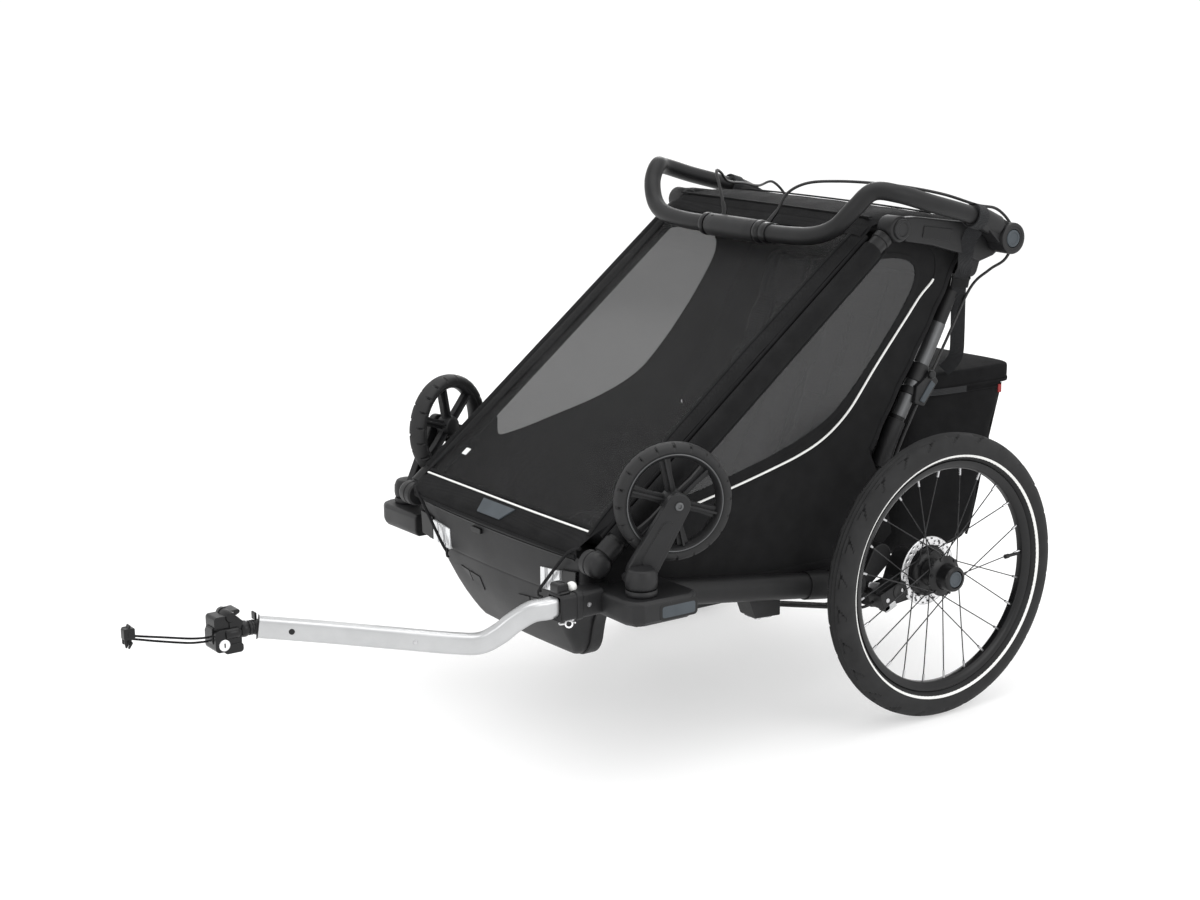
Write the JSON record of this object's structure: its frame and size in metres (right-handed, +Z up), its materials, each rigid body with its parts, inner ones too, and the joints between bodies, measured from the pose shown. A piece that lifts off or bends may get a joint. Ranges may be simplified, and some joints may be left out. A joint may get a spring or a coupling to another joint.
{
  "type": "child bicycle trailer",
  "caption": "Covered child bicycle trailer with spoked side wheels, folded-up front casters, angled tow arm with ball coupler, pivoting handlebar and rear cargo bag.",
  "frame": {"origin": "on the ground, under the middle of the footprint without the safety strap", "axes": "+X to the trailer's left, +Y rearwards, +Z up; the tow arm points to -Y"},
  "size_m": [0.8, 1.676, 0.9093],
  "materials": {
    "frame_paint": "satin black paint",
    "black_plastic": "fine texture",
    "slate_plastic": "matt slate grey",
    "tyre_rubber": "moulded tread",
    "small_rubber": "matt",
    "shell_fabric": "woven, dark charcoal",
    "seat_fabric": "padded weave",
    "silver": "satin anodised",
    "steel": "brushed",
    "cable_jacket": "smooth jacket"
  },
  "bodies": {
    "chassis": {"side_tube_left": "frame_paint", "side_tube_right": "frame_paint", "rear_axle_frame": "frame_paint", "floor_pan": "black_plastic", "front_shell": "black_plastic", "front_bracket_left": "black_plastic", "front_bracket_right": "black_plastic", "seat_base": "seat_fabric", "seat_back": "seat_fabric", "side_panel_left": "shell_fabric", "side_panel_right": "shell_fabric", "cargo_bag": "shell_fabric", "brake_cable_left": "cable_jacket", "brake_cable_right": "cable_jacket", "hitch_arm": "silver"},
    "cage": {"front_tube_left": "frame_paint", "front_tube_right": "frame_paint", "front_cross_tube": "frame_paint", "rear_cross_tube": "frame_paint", "top_bracket_left": "black_plastic", "top_bracket_right": "black_plastic", "roof_panel": "shell_fabric", "front_cover": "shell_fabric"},
    "rear_frame": {"rear_strut_left": "frame_paint", "rear_strut_right": "frame_paint"},
    "handlebar_loop": {"handlebar": "frame_paint"},
    "grip": {"brake_grip": "black_plastic"},
    "pin": {"hitch_pin": "steel"},
    "coupler_roll": {"coupler_neck": "black_plastic"},
    "coupler_yaw": {"coupler_ball": "steel"},
    "coupler": {"axle_cup": "black_plastic", "safety_strap": "cable_jacket", "strap_clip": "black_plastic"},
    "bag_lid": {"cargo_bag_lid": "shell_fabric"},
    "suspension_left": {"suspension_arm_left": "black_plastic", "brake_caliper_left": "steel"},
    "wheel_left": {"tyre_left": "tyre_rubber", "rim_left": "frame_paint", "hub_left": "frame_paint", "brake_rotor_left": "steel"},
    "wheel_button_left": {"wheel_release_button_left": "slate_plastic"},
    "caster_plug_left": {"caster_stem_left": "black_plastic"},
    "caster_swivel_left": {"caster_fork_left": "black_plastic"},
    "caster_roller_left": {"caster_wheel_left": "black_plastic", "caster_tyre_left": "small_rubber"},
    "bracket_key_left": {"bracket_button_left": "slate_plastic"},
    "handle_key_left": {"handle_button_left": "slate_plastic"},
    "suspension_right": {"suspension_arm_right": "black_plastic", "brake_caliper_right": "steel"},
    "wheel_right": {"tyre_right": "tyre_rubber", "rim_right": "frame_paint", "hub_right": "frame_paint", "brake_rotor_right": "steel"},
    "wheel_button_right": {"wheel_release_button_right": "slate_plastic"},
    "caster_plug_right": {"caster_stem_right": "black_plastic"},
    "caster_swivel_right": {"caster_fork_right": "black_plastic"},
    "caster_roller_right": {"caster_wheel_right": "black_plastic", "caster_tyre_right": "small_rubber"},
    "bracket_key_right": {"bracket_button_right": "slate_plastic"},
    "handle_key_right": {"handle_button_right": "slate_plastic"}
  },
  "joints": [
    {"name": "cage_fold", "type": "hinge", "parent": "chassis", "child": "cage", "pos_m": [0, -0.2095, 0.357], "axis": [-1, 0, 0], "range_deg": [0, 14], "deforming": ["seat_back", "side_panel_left", "side_panel_right", "brake_cable_left", "brake_cable_right", "cargo_bag_lid"]},
    {"name": "strut_fold", "type": "hinge", "parent": "cage", "child": "rear_frame", "pos_m": [0, 0.5925, 0.742], "axis": [-1, 0, 0], "range_deg": [0, 22]},
    {"name": "handlebar_pivot", "type": "hinge", "parent": "cage", "child": "handlebar_loop", "pos_m": [0, 0.6075, 0.8], "axis": [-1, 0, 0], "range_deg": [0, 185]},
    {"name": "brake_lever", "type": "hinge", "parent": "handlebar_loop", "child": "grip", "pos_m": [0, 0.2825, 0.811], "axis": [1, 0, 0], "range_deg": [0, 30], "stiffness_Nm_per_rad": 1.5},
    {"name": "bag_lid_hinge", "type": "hinge", "parent": "chassis", "child": "bag_lid", "pos_m": [0, 0.5205, 0.545], "axis": [1, 0, 0], "range_deg": [0, 55]},
    {"name": "hitch_pin_pull", "type": "slide", "parent": "chassis", "child": "pin", "axis": [0, 0, 1], "range_m": [0, 0.06]},
    {"name": "coupler_roll", "type": "hinge", "parent": "chassis", "child": "coupler_roll", "pos_m": [0.10775, -0.6992, 0.30545], "axis": [-0.4262, -0.8934, 0.1421], "range_deg": [-20, 20]},
    {"name": "coupler_yaw", "type": "hinge", "parent": "coupler_roll", "child": "coupler_yaw", "pos_m": [0.107, -0.7205, 0.306], "axis": [0, 0, 1], "range_deg": [-40, 40]},
    {"name": "coupler_pitch", "type": "hinge", "parent": "coupler_yaw", "child": "coupler", "pos_m": [0.107, -0.7205, 0.306], "axis": [1, 0, 0], "range_deg": [-15, 15]},
    {"name": "suspension_left", "type": "hinge", "parent": "chassis", "child": "suspension_left", "pos_m": [0.252, 0.1615, 0.219], "axis": [1, 0, 0], "range_deg": [-2.5, 2.5], "stiffness_Nm_per_rad": 1500},
    {"name": "wheel_spin_left", "type": "hinge", "parent": "suspension_left", "child": "wheel_left", "pos_m": [0.3648, 0.4425, 0.245], "axis": [1, 0, 0], "continuous": true},
    {"name": "wheel_button_left", "type": "slide", "parent": "wheel_left", "child": "wheel_button_left", "axis": [-1, 0, 0], "range_m": [0, 0.003], "stiffness_N_per_m": 400},
    {"name": "caster_pull_left", "type": "slide", "parent": "chassis", "child": "caster_plug_left", "axis": [0, 0, 1], "range_m": [0, 0.06]},
    {"name": "caster_swivel_left", "type": "hinge", "parent": "caster_plug_left", "child": "caster_swivel_left", "pos_m": [0.356, -0.176, 0.33], "axis": [0, 0, 1], "range_deg": [-60, 10]},
    {"name": "caster_spin_left", "type": "hinge", "parent": "caster_swivel_left", "child": "caster_roller_left", "pos_m": [0.33761, -0.10226, 0.4523], "axis": [0.9397, -0.342, 0], "continuous": true},
    {"name": "bracket_key_left", "type": "slide", "parent": "chassis", "child": "bracket_key_left", "axis": [-1, 0, 0], "range_m": [0, 0.003], "stiffness_N_per_m": 400},
    {"name": "handle_key_left", "type": "slide", "parent": "handlebar_loop", "child": "handle_key_left", "axis": [-1, 0, 0], "range_m": [0, 0.0025], "stiffness_N_per_m": 400},
    {"name": "suspension_right", "type": "hinge", "parent": "chassis", "child": "suspension_right", "pos_m": [-0.252, 0.1615, 0.219], "axis": [1, 0, 0], "range_deg": [-2.5, 2.5], "stiffness_Nm_per_rad": 1500},
    {"name": "wheel_spin_right", "type": "hinge", "parent": "suspension_right", "child": "wheel_right", "pos_m": [-0.3648, 0.4425, 0.245], "axis": [1, 0, 0], "continuous": true},
    {"name": "wheel_button_right", "type": "slide", "parent": "wheel_right", "child": "wheel_button_right", "axis": [1, 0, 0], "range_m": [0, 0.003], "stiffness_N_per_m": 400},
    {"name": "caster_pull_right", "type": "slide", "parent": "chassis", "child": "caster_plug_right", "axis": [0, 0, 1], "range_m": [0, 0.06]},
    {"name": "caster_swivel_right", "type": "hinge", "parent": "caster_plug_right", "child": "caster_swivel_right", "pos_m": [-0.356, -0.176, 0.33], "axis": [0, 0, 1], "range_deg": [-10, 60]},
    {"name": "caster_spin_right", "type": "hinge", "parent": "caster_swivel_right", "child": "caster_roller_right", "pos_m": [-0.33761, -0.10226, 0.4523], "axis": [0.9397, 0.342, 0], "continuous": true},
    {"name": "bracket_key_right", "type": "slide", "parent": "chassis", "child": "bracket_key_right", "axis": [1, 0, 0], "range_m": [0, 0.003], "stiffness_N_per_m": 400},
    {"name": "handle_key_right", "type": "slide", "parent": "handlebar_loop", "child": "handle_key_right", "axis": [1, 0, 0], "range_m": [0, 0.0025], "stiffness_N_per_m": 400}
  ],
  "couplings": [
    {"joint": "strut_fold", "follows": "cage_fold", "ratio": 1.55}
  ]
}
